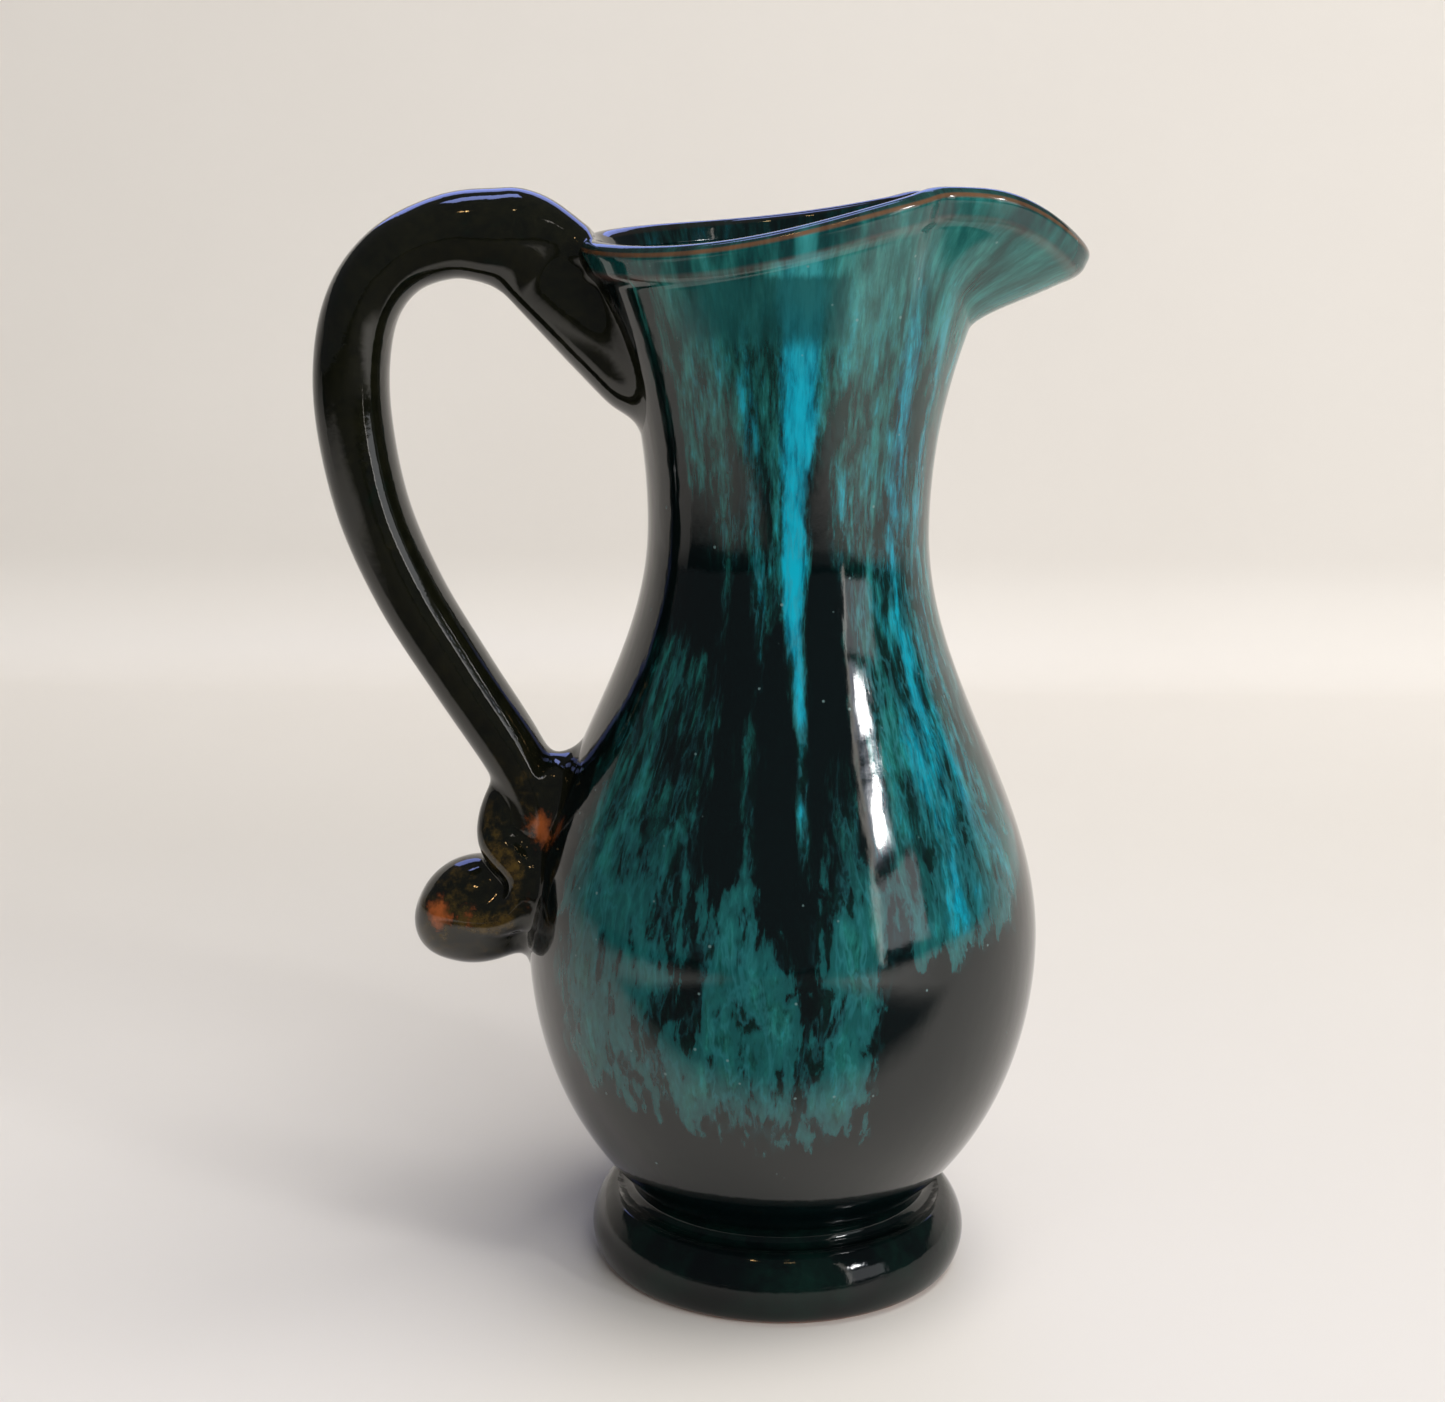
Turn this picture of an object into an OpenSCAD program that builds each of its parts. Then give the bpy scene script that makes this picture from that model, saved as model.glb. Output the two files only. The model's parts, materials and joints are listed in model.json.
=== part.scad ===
// Ceramic pitcher: a hollow wheel-form vessel on a turned foot, with a pinched
// pouring spout and a pulled strap handle whose tail is rolled into a curl.
// Millimetres. The origin is the centre of the standing face, +Z is up,
// +X points out over the spout and -X out over the handle.

/* [Belly and neck] */
// Outer radius of the belly at its widest
belly_r = 42; // [38:0.5:46]
// Height of the belly's widest line
belly_z = 56; // [54:1:60]
// Half-height of the ellipse that rounds the belly's underside
belly_drop = 52; // [50:0.5:56]
// Outer radius of the neck at its narrowest
neck_r = 22.6; // [21:0.2:24]
// Height of the neck's narrowest line
neck_z = 124; // [118:1:130]
// Thickness of the clay wall
wall = 3.4; // [2.5:0.1:4]
// Thickness of the clay floor
floor_t = 4.5; // [3.5:0.1:6]

/* [Mouth and rim] */
// Outer radius of the mouth across the pitcher
mouth_side_r = 28; // [27:0.5:31]
// Outer radius of the mouth along the pitcher, without the spout
mouth_end_r = 32.5; // [31:0.5:35]
// Height of the rim at the sides
rim_z = 171.8; // [168:0.1:175]
// Rise of the rim towards the spout, and its fall towards the handle
rim_tilt = 5.2; // [4:0.1:8]
// Extra height of the rim at both ends
rim_cup = 2; // [1:0.1:5]
// Wave of the rim, lifting it at -Y by the spout and at +Y by the handle
rim_wave = 0.8; // [0:0.1:1]
// How far the rolled lip stands out of the wall
lip_roll = 0.7; // [0.2:0.1:1]

/* [Spout] */
// Reach of the spout beyond the mouth
spout_reach = 13; // [8:0.5:15]
// Half-angle over which the spout spreads
spout_spread = 27; // [22:1:30]
// Fall of the rim at the tip of the spout
spout_droop = 11; // [8:0.1:15]
// Depth of the pinched crease on each side of the spout
pinch_depth = 2.6; // [1:0.1:4]

/* [Foot] */
// Height of the foot ring
foot_h = 14; // [12:0.5:15]
// Outer radius of the foot's rolled bead
foot_r = 31.3; // [29:0.1:33]
// Outer radius at the crest above the bead
crest_r = 25; // [24:0.1:26]
// Radius of the hollow turned into the underside
recess_r = 19; // [14:0.5:21]
// Depth of the hollow turned into the underside
recess_h = 9; // [4:0.5:10]

/* [Handle] */
// Half-width of the strap across the pitcher, at mid-height
strap_half_w = 7; // [6:0.1:8]

/* [Hidden] */

around = 60;        // corners of each ring of the vessel
lower_rings = 14;   // rings from the foot to the neck
upper_rings = 16;   // rings from the neck to the rim
pinch_at = 41;      // degrees from the spout's middle to each crease
pinch_spread = 8;   // half-width of each crease, in degrees
droop_spread = 21.5;  // half-angle over which the rim falls towards the tip
lip_h = 4;          // height of the rolled lip below the rim
glaze_dark = [0.05, 0.10, 0.09];
glaze_teal = [0.08, 0.38, 0.36];
glaze_olive = [0.16, 0.12, 0.06];

// Stations of the handle from the neck to the belly:
// [x, z, half-thickness, half-width as a share of strap_half_w]
handle_stations = [
    [-20, 152, 10, 1.6],
    [-27, 155, 9.8, 1.4],
    [-33.3, 159.3, 9.2, 1.25],
    [-38.6, 164.3, 8.8, 1.12],
    [-45, 168.2, 8.1, 1.05],
    [-53, 169, 6.6, 1],
    [-61, 165.8, 6, 1],
    [-66.4, 159.6, 5.9, 1],
    [-68.8, 151, 6, 1],
    [-68.8, 140, 6, 1],
    [-66, 126, 5.8, 1],
    [-60.3, 112.5, 5.6, 0.97],
    [-52.5, 99.5, 5.4, 0.95],
    [-44.5, 87, 5.2, 0.93],
    [-40, 79, 5, 0.9]
];
pad_end = 4 / 14;     // where along the stations the pad hands over to the strap
strap_end = 13 / 14;  // where the strap hands over to the curl

// Beads of the rolled tail: [x, y, z, radius]
curl_path = [
    [-44.5, 0, 86.6, 5.1],
    [-41.6, -0.5, 80, 4.9],
    [-44.8, -1, 73.5, 4.8],
    [-45, -3, 69.5, 4.2],
    [-43, -5, 65, 3.8],
    [-43.2, -5.5, 60.5, 3.8],
    [-47, -4, 57, 4.6],
    [-51.5, -2, 56.4, 5.7],
    [-55.6, 0, 59, 5.1],
    [-52.5, 2, 62.6, 6],
    [-47, 2.5, 63, 6],
    [-43, 1.5, 60, 6]
];
tail_pad_beads = [
    [-34.6, 0, 83, 3.4],
    [-36, 0, 79, 6.8],
    [-37, 0, 71, 8.2],
    [-38, 0, 62, 8],
    [-38.6, 0, 54.5, 5.6]
];

// ---- small helpers ----

function bell(x, spread) = exp(-pow(x / spread, 2));
function smooth(lo, hi, x) = let (u = max(0, min(1, (x - lo) / (hi - lo)))) u * u * (3 - 2 * u);
function unit(v) = v / norm(v);

// A point of the smooth curve through a list of stations, with u running from 0 to 1.
function along(list, u) = let (
    last = len(list) - 1,
    i = min(floor(u * last), last - 1),
    f = u * last - i,
    a = list[max(i - 1, 0)],
    b = list[i],
    c = list[i + 1],
    d = list[min(i + 2, last)]
) (2 * b + (c - a) * f + (2 * a - 5 * b + 4 * c - d) * f * f + (3 * b - a - 3 * c + d) * f * f * f) / 2;

// ---- the vessel's wall as a function of angle and height ----

// Degrees away from the spout's middle, 0 to 180.
function off(a) = a <= 180 ? a : 360 - a;

function mouth_r(a) = mouth_side_r + (mouth_end_r - mouth_side_r) * pow(cos(a), 2);

function rim_top(a) = rim_z + rim_tilt * cos(a) + rim_cup * pow(cos(a), 2)
    - rim_wave * sin(2 * a) - spout_droop * bell(off(a), droop_spread);

// Belly: an ellipse below its widest line, and a cosine from there up to the neck.
function lower_r(z) = z < belly_z
    ? belly_r * sqrt(1 - pow((belly_z - z) / belly_drop, 2))
    : neck_r + (belly_r - neck_r) * (1 + cos(180 * (z - belly_z) / (neck_z - belly_z))) / 2;

// Above the neck: a flare to the mouth, the spout, its two creases and the lip.
function upper_r(a, s, below_rim) = neck_r + (mouth_r(a) - neck_r) * s * s
    + spout_reach * bell(off(a), spout_spread) * smooth(0.74, 0.97, s)
    - pinch_depth * bell(off(a) - pinch_at, pinch_spread) * smooth(0.55, 1, s)
    + lip_roll * smooth(lip_h, lip_h - 1.5, below_rim);

// t runs from 0 at the foot, through 1 at the neck, to 2 at the rim.
function outside(a, t) = t <= 1
    ? let (z = foot_h + t * (neck_z - foot_h), r = lower_r(z)) [r * cos(a), r * sin(a), z]
    : let (
        top = rim_top(a) - wall / 2,
        z = neck_z + (t - 1) * (top - neck_z),
        r = upper_r(a, t - 1, top - z)
    ) [r * cos(a), r * sin(a), z];

function up_slope(a, t) = unit(outside(a, min(t + 0.002, 2)) - outside(a, max(t - 0.002, 0)));
function out_normal(a, t) = unit(cross(
    outside(a + 0.2, t) - outside(a - 0.2, t),
    outside(a, min(t + 0.002, 2)) - outside(a, max(t - 0.002, 0))
));
function inside(a, t) = outside(a, t) - wall * out_normal(a, t);

// The rounded top of the wall: turn is 0 on the outer face and 180 on the inner one.
function rim_round(a, turn) = outside(a, 2)
    + wall / 2 * ((cos(turn) - 1) * out_normal(a, 2) + sin(turn) * up_slope(a, 2));

levels = concat(
    [for (i = [0:lower_rings]) pow(i / lower_rings, 1.35)],
    [for (i = [1:upper_rings]) 1 + pow(i / upper_rings, 0.6)]
);
first_inside = 2;   // the wall's inner face starts at this level, where the floor meets it
angles = [for (i = [0:around - 1]) i * 360 / around];

// A closed solid from rings of points, with a centre point at each end.
module stack_of_rings(rings, start_centre, end_centre) {
    n = len(rings[0]);
    m = len(rings);
    points = concat([start_centre], [for (ring = rings, p = ring) p], [end_centre]);
    last = len(points) - 1;
    faces = concat(
        [for (i = [0:n - 1]) [0, 1 + i, 1 + (i + 1) % n]],
        [for (j = [0:m - 2], i = [0:n - 1]) [1 + j * n + i, 1 + (j + 1) * n + i, 1 + j * n + (i + 1) % n]],
        [for (j = [0:m - 2], i = [0:n - 1])
            [1 + j * n + (i + 1) % n, 1 + (j + 1) * n + i, 1 + (j + 1) * n + (i + 1) % n]],
        [for (i = [0:n - 1]) [last, last - n + (i + 1) % n, last - n + i]]
    );
    polyhedron(points = points, faces = faces);
}

outer_rings = [for (t = levels) [for (a = angles) outside(a, t)]];

module vessel() {
    rim_rings = [for (turn = [45, 90, 135]) [for (a = angles) rim_round(a, turn)]];
    inner_rings = [for (i = [len(levels) - 1:-1:first_inside]) [for (a = angles) inside(a, levels[i])]];
    color(glaze_teal)
        stack_of_rings(
            concat(outer_rings, rim_rings, inner_rings), [0, 0, foot_h], [0, 0, foot_h + floor_t]
        );
}

// The vessel's outer form with its mouth filled, to scribe the handle against.
module vessel_form() {
    rim_rings = [for (turn = [45, 90]) [for (a = angles) rim_round(a, turn)]];
    stack_of_rings(concat(outer_rings, rim_rings), [0, 0, foot_h], [0, 0, rim_z - 4]);
}

// ---- the foot ----

module foot_ring() {
    bead_z = foot_h * 0.43;
    color(glaze_dark)
        rotate_extrude($fn = 120)
            polygon(concat(
                [[0, recess_h], [recess_r - 1.5, recess_h], [recess_r, 0], [crest_r + 2.3, 0]],
                [for (turn = [-60:15:90])
                    [crest_r + (foot_r - crest_r) * cos(turn), bead_z + bead_z * sin(turn)]],
                [[crest_r - 0.9, bead_z * 2 + 0.3], [crest_r - 1.5, bead_z * 2 + 0.9],
                 [crest_r - 1.6, foot_h], [0, foot_h]]
            ));
}

// ---- the handle ----

// An oval slice of the handle, square to its path.
module strap_slice(u) {
    s = along(handle_stations, u);
    ahead = along(handle_stations, min(u + 0.01, 1));
    behind = along(handle_stations, max(u - 0.01, 0));
    lean = atan2(ahead[0] - behind[0], ahead[1] - behind[1]);
    translate([s[0], 0, s[1]])
        rotate([0, lean, 0])
            scale([s[2], s[3] * strap_half_w, 1])
                cylinder(r = 1, h = 0.02, center = true, $fn = 24);
}

// The stretch of the handle from one place on its path to another.
module strap(from, to, steps) {
    for (i = [0:steps - 1])
        hull() {
            strap_slice(from + (to - from) * i / steps);
            strap_slice(from + (to - from) * (i + 1) / steps);
        }
}

module bead_chain(beads) {
    for (i = [0:len(beads) - 2])
        hull()
            for (b = [beads[i], beads[i + 1]])
                translate([b[0], b[1], b[2]])
                    sphere(r = b[3], $fn = 24);
}

// Every bead of a chain, doubled by the points halfway between its stations.
function eased(beads) = let (steps = 2 * (len(beads) - 1)) [for (i = [0:steps]) along(beads, i / steps)];

module handle_pad() {
    color(glaze_dark)
        difference() {
            strap(0, pad_end, 12);
            vessel_form();
        }
}

module handle_strap() {
    color(glaze_olive) strap(pad_end, strap_end, 28);
}

module handle_curl() {
    color(glaze_olive)
        difference() {
            bead_chain(eased(curl_path));
            vessel_form();
            strap(pad_end, strap_end, 28);
        }
}

module tail_pad() {
    color(glaze_dark)
        difference() {
            bead_chain(eased(tail_pad_beads));
            vessel_form();
            strap(pad_end, strap_end, 28);
            bead_chain(eased(curl_path));
        }
}

vessel();
foot_ring();
handle_pad();
handle_strap();
handle_curl();
tail_pad();
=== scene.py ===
# %% [markdown]
# # A drip-glazed pitcher
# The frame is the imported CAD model: a hollow vessel, a foot ring and a handle whose tail is rolled
# into a curl. It is loaded first and never moved. Everything below is written in millimetres, as on
# the drawing, and turned into metres only when a mesh is made.

# %% Load the frame
import json
import math
import bpy
import numpy as np
from mathutils import Matrix, Vector
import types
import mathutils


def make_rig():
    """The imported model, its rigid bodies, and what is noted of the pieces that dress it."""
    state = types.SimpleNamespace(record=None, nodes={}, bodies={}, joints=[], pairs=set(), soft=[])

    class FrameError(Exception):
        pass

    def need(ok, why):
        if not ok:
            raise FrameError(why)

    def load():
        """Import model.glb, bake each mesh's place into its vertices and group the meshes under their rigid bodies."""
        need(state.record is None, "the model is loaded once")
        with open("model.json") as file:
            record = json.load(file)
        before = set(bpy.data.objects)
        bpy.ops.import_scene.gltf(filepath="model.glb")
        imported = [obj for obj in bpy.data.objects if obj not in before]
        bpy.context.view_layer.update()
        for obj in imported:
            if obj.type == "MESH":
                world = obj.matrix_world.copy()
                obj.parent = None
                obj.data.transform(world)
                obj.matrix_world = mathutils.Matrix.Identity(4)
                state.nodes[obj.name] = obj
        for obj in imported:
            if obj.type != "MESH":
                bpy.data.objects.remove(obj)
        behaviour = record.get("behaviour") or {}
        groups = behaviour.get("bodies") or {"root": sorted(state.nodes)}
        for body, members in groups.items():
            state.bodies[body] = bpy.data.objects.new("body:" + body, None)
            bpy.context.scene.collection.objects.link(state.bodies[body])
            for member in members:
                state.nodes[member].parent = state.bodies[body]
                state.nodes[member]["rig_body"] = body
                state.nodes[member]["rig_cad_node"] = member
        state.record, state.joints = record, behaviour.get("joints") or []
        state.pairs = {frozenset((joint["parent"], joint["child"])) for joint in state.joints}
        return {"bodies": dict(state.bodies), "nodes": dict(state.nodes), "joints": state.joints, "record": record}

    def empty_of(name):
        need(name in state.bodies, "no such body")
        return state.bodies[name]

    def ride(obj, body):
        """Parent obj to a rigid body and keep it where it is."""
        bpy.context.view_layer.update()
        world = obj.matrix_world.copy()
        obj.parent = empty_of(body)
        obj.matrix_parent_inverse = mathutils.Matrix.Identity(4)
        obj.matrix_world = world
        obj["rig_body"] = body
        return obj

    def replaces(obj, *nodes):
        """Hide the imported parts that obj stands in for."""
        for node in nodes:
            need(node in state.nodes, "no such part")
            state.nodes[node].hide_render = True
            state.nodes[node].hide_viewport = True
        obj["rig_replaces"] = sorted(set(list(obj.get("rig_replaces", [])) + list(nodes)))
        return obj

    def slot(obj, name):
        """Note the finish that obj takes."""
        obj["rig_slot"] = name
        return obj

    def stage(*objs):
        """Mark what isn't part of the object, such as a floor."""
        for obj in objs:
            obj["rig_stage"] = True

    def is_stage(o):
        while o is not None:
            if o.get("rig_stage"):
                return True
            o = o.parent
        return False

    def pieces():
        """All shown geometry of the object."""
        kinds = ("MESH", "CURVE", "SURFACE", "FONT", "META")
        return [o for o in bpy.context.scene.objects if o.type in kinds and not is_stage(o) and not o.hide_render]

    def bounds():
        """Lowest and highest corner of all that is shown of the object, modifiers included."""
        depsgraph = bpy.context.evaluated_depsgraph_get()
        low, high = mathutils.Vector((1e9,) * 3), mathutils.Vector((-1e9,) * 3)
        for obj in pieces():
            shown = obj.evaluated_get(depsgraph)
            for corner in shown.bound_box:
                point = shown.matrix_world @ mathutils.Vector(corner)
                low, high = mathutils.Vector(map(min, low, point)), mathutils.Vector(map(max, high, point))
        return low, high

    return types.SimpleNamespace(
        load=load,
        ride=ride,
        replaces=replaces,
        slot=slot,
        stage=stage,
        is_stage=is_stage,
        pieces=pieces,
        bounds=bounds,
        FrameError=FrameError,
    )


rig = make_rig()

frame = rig.load()
CAD_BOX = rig.bounds()
MM = 0.001
print("frame:", sorted(frame["nodes"]), "box", CAD_BOX)

# %% [markdown]
# ## Small helpers
# Three short curves shape everything here: a bell that fades away on both sides, a smooth step
# between two levels, and a smooth line through a few given stations. Blender has curve
# objects for this, but a formula can be used for a shape and for a glaze alike.

# %% Curves
def bell(x, spread):
    """A bump of height 1 at x = 0: exp(-(x / spread)^2)."""
    return np.exp(-(x / spread) ** 2)


def smooth(lo, hi, x):
    """0 below lo, 1 above hi, and 3u^2 - 2u^3 in between."""
    u = np.clip((x - lo) / (hi - lo), 0, 1)
    return u * u * (3 - 2 * u)


def along(stations, u):
    """Points of the Catmull-Rom curve through the stations, for u from 0 to 1."""
    p = np.asarray(stations, float)
    last = len(p) - 1
    i = np.minimum((np.clip(u, 0, 1) * last).astype(int), last - 1)
    f = (np.clip(u, 0, 1) * last - i)[:, None]
    a, b, c, d = p[np.maximum(i - 1, 0)], p[i], p[i + 1], p[np.minimum(i + 2, last)]
    return (2*b + (c - a)*f + (2*a - 5*b + 4*c - d)*f*f + (3*b - a - 3*c + d)*f**3) / 2


def unit(v):
    """Vectors scaled to length 1."""
    return v / np.maximum(np.linalg.norm(v, axis=-1, keepdims=True), 1e-12)


print("bell one spread away:", bell(1.0, 1.0), "and a smooth step halfway:", smooth(0, 2, 1.0))

# %% [markdown]
# ## The vessel's wall
# A thrown or cast pot is a surface of revolution until its mouth is pulled into a spout. So the wall
# is a function of two parameters: the angle round the pot, 0 at the spout, and a level that runs from
# 0 at the foot, through 1 at the neck, to 2 at the rim. A lathe or a Screw modifier would give the
# round part, but not the spout and its two pinched creases, which grow out of the same wall.

# %% Sizes of the vessel
FOOT_H = 14
BELLY_R, BELLY_Z, BELLY_DROP = 42, 56, 52
NECK_R, NECK_Z = 22.6, 124
WALL, FLOOR_T = 3.4, 4.5
MOUTH_SIDE_R, MOUTH_END_R = 28, 32.5
RIM_Z, RIM_INSET, RIM_TILT, RIM_CUP, RIM_WAVE = 171.8, 0.15, 5.2, 2, 0.8
LIP_H, LIP_EASE, LIP_ROLL = 4, 1.5, 0.7
print(f"belly {2 * BELLY_R} mm across, neck {2 * NECK_R} mm, wall {WALL} mm")

# %% Sizes of the spout and its creases, angles in degrees from its middle
SPOUT_REACH, SPOUT_SPREAD, SPOUT_DROOP, DROOP_SPREAD = 13, 27, 11, 21.5
SPOUT_FROM, SPOUT_FULL = 0.74, 0.97   # shares of the way from neck to rim
PINCH_DEPTH, PINCH_AT, PINCH_SPREAD, PINCH_FROM = 2.6, 41, 8, 0.55


def off_spout(angle):
    """Degrees away from the middle of the spout, 0 to 180."""
    return np.abs((np.degrees(angle) + 180) % 360 - 180)


def rim_top(angle):
    """Height of the rim: a tilt towards the spout, a cup, a wave, and a droop at the tip."""
    return (RIM_Z - RIM_INSET + RIM_TILT * np.cos(angle) + RIM_CUP * np.cos(angle) ** 2
            - RIM_WAVE * np.sin(2 * angle) - SPOUT_DROOP * bell(off_spout(angle), DROOP_SPREAD))


print("rim height at the spout, the side and the handle:", rim_top(np.radians([0, 90, 180])).round(1))

# %% Radius of the wall
def lower_radius(z):
    """An ellipse under the belly's widest line, and half a cosine wave from there to the neck."""
    under = BELLY_R * np.sqrt(np.clip(1 - ((BELLY_Z - z) / BELLY_DROP) ** 2, 0, 1))
    wave = np.cos(np.pi * (z - BELLY_Z) / (NECK_Z - BELLY_Z))
    return np.where(z < BELLY_Z, under, NECK_R + (BELLY_R - NECK_R) * (1 + wave) / 2)


def upper_radius(angle, s, below_rim):
    """Neck plus flare s^2, the spout, minus the creases, plus the rolled lip. s runs 0 to 1."""
    off = off_spout(angle)
    mouth = MOUTH_SIDE_R + (MOUTH_END_R - MOUTH_SIDE_R) * np.cos(angle) ** 2
    spout = SPOUT_REACH * bell(off, SPOUT_SPREAD) * smooth(SPOUT_FROM, SPOUT_FULL, s)
    pinch = PINCH_DEPTH * bell(off - PINCH_AT, PINCH_SPREAD) * smooth(PINCH_FROM, 1, s)
    lip = LIP_ROLL * (1 - smooth(LIP_H - LIP_EASE, LIP_H, below_rim))
    return NECK_R + (mouth - NECK_R) * s * s + spout - pinch + lip


def unevenness(angle, z):
    """What a hand leaves on the wall: shallow dips, 0.04 to 0.3 mm, from a few slow waves."""
    waves = (np.sin(2*angle + z/19) + np.sin(3*angle - z/13 + 1.3) * 0.8
             + np.sin(5*angle + z/8.5 + 4) * 0.35 + np.sin(z/11 + 2) * 0.5 + np.sin(9*angle - z/21) * 0.12)
    return 0.17 + 0.05 * waves


def radius_at(angle, z):
    """Outer radius of the wall at an angle and a height."""
    top = rim_top(angle) - WALL / 2
    s = np.clip((z - NECK_Z) / (top - NECK_Z), 0, 1)
    r = np.where(z < NECK_Z, lower_radius(np.minimum(z, NECK_Z)), upper_radius(angle, s, top - z))
    return r - unevenness(angle, z)


print("radius at the belly, the neck and the spout:",
      radius_at(np.zeros(3), np.array([BELLY_Z, NECK_Z, 166.0])).round(2))

# %% Points and directions on the outer face
STEP_UP, STEP_ROUND = 0.002, 0.003   # small differences of level and of angle


def outside(angle, level):
    """Point of the outer face: (r cos, r sin, z) at an angle and a level."""
    top = rim_top(angle) - WALL / 2
    low = FOOT_H + np.minimum(level, 1) * (NECK_Z - FOOT_H)
    z = np.where(level <= 1, low, NECK_Z + (level - 1) * (top - NECK_Z))
    r = radius_at(angle, z)
    return np.stack([r * np.cos(angle), r * np.sin(angle), z], axis=-1)


def slopes(angle, level):
    """Unit vectors up the wall and straight out of it, from small differences."""
    higher, lower = np.minimum(level + STEP_UP, 2), np.maximum(level - STEP_UP, 0)
    up = unit(outside(angle, higher) - outside(angle, lower))
    across = outside(angle + STEP_ROUND, level) - outside(angle - STEP_ROUND, level)
    return up, unit(np.cross(across, up))


print("tip of the spout:", outside(np.zeros(1), np.full(1, 2.0)).round(1))

# %% [markdown]
# ## Rings into meshes
# Every closed shape of the pot is a stack of rings on a grid. One function turns the grid of points
# into quads with numpy index arithmetic and closes both ends on a middle point. Spinning a profile in
# Blender would leave a seam to merge, and a grid whose last column meets its first has none.

# %% Mesh from a stack of rings
def mesh_piece(name, points, faces):
    """A smooth-shaded object at the origin from points in mm and faces."""
    mesh = bpy.data.meshes.new(name)
    mesh.from_pydata((points * MM).tolist(), [], faces)
    mesh.polygons.foreach_set("use_smooth", np.ones(len(mesh.polygons), bool))
    mesh.update()
    piece = bpy.data.objects.new(name, mesh)
    bpy.context.collection.objects.link(piece)
    print(f"{name}: {len(points)} points, {len(faces)} faces")
    return piece


def ring_stack(name, rings, start, end):
    """Rings of points (m, n, 3), counter-clockwise and upwards on the outside, closed at both ends."""
    m, n = rings.shape[:2]
    i = np.arange(m * n).reshape(m, n)
    right = np.roll(i, -1, axis=1)
    quads = np.stack([i[:-1], right[:-1], right[1:], i[1:]], axis=-1).reshape(-1, 4)
    first = np.stack([np.full(n, m * n), right[0], i[0]], axis=-1)
    last = np.stack([np.full(n, m * n + 1), i[-1], right[-1]], axis=-1)
    points = np.concatenate([rings.reshape(-1, 3), [start], [end]])
    return mesh_piece(name, points, quads.tolist() + first.tolist() + last.tolist())


# %% [markdown]
# ## The vessel
# The outer face goes up the wall, a half circle rolls over the rim, and the inner face comes down a
# wall's thickness inside it, square to the outer face. A Solidify modifier would thicken the sheet
# too, but it would leave a flat rim with sharp edges, and a glazed rim is round.

# %% The vessel: outer face, rounded rim, inner face
AROUND, LOW_ROWS, HIGH_ROWS, RIM_ROWS = 240, 141, 121, 13
INNER_STOP = 3   # rows of the inner face that the clay floor replaces

angle = np.linspace(0, 2 * np.pi, AROUND, endpoint=False)[None, :]
low_levels = np.linspace(0, 1, LOW_ROWS) ** 1.25        # rows crowd towards the foot
high_levels = np.linspace(0, 1, HIGH_ROWS)[1:] ** 0.75   # and towards the rim
levels = np.concatenate([low_levels, 1 + high_levels])[:, None]
outer = outside(angle, levels)
up, out = slopes(angle, np.full((1, 1), 2.0))
turns = np.linspace(0, np.pi, RIM_ROWS)[1:-1, None, None]
rim = outer[-1] + WALL / 2 * ((np.cos(turns) - 1) * out[0] + np.sin(turns) * up[0])
inner_levels = levels[::-2][:-INNER_STOP]
_, out_in = slopes(angle + 0 * inner_levels, inner_levels)
inner = outside(angle, inner_levels) - WALL * out_in

rings = np.concatenate([outer, rim, inner])
under_floor, on_floor = (0, 0, FOOT_H), (0, 0, FOOT_H + FLOOR_T)
vessel = ring_stack("vessel_shell", rings, under_floor, on_floor)

# %% [markdown]
# ## The foot
# The foot is turned on the wheel: a fat rolled bead, a sharp crest, a waist where glaze pools dark
# under the belly, and a hollow underneath, with the standing ring wiped clean of glaze. It is a
# profile carried round a circle, and its curves run through a few stations, as a turner would mark
# them. Bevelled cylinders have only round arcs, and this profile has a sharp crest and a hollow waist.

# %% The foot ring
RECESS_R, RECESS_H = 19, 9
STAND_R = 26.8
FOOT_TOP = 16.8
BEAD_ROWS, WAIST_ROWS = 44, 34
bead_stations = [  # radius and height: standing ring, bead, crest
    (28.2, 0.02), (29.2, 0.25), (30.2, 1.1), (30.9, 2.6), (31.3, 4.6), (31.2, 6.5), (30.55, 8.6),
    (29.5, 10.4), (28.3, 11.5), (27.2, 11.75)]
waist_stations = [  # crest, the dark hollow, and up into the belly
    (27.2, 11.75), (26.4, 11.4), (25.5, 11.3), (24.7, 11.7), (24.25, 12.4), (24.25, 13.2),
    (24.75, 14.1), (25.3, 14.8), (25.7, 15.6)]


def foot_outline():
    """Radius and height from the middle of the hollow, round the bead, and up to the belly."""
    hollow = [(1, RECESS_H), (RECESS_R - 3, RECESS_H), (RECESS_R - 1.7, RECESS_H - 0.5),
              (RECESS_R - 1.2, RECESS_H - 2)]
    stand = [(RECESS_R - 0.4, 0.8), (RECESS_R + 0.2, 0.05), (RECESS_R + 1, 0), (STAND_R, 0)]
    bead = along(bead_stations, np.linspace(0, 1, BEAD_ROWS))
    waist = along(waist_stations, np.linspace(0, 1, WAIST_ROWS))[1:]
    return np.concatenate([hollow, stand, bead, waist])


outline = foot_outline()
foot_rings = np.stack([outline[:, :1] * np.cos(angle), outline[:, :1] * np.sin(angle),
                       np.repeat(outline[:, 1:], AROUND, axis=1)], axis=-1)
foot = ring_stack("foot", foot_rings, (0, 0, RECESS_H), (0, 0, FOOT_TOP))

# %% [markdown]
# ## The handle
# The handle is soft clay: a strap that spreads where it is pressed on to the neck, and whose tail is
# rolled and folded against the belly. Tubes that only cross each other would show hard seams, so all
# of it is described as a field, the distance to the nearest clay surface, in which neighbours melt
# together. The skin is then drawn where the field is zero. Metaballs melt together in the same way,
# but their skin can't follow the formula of the vessel's wall.

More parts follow.
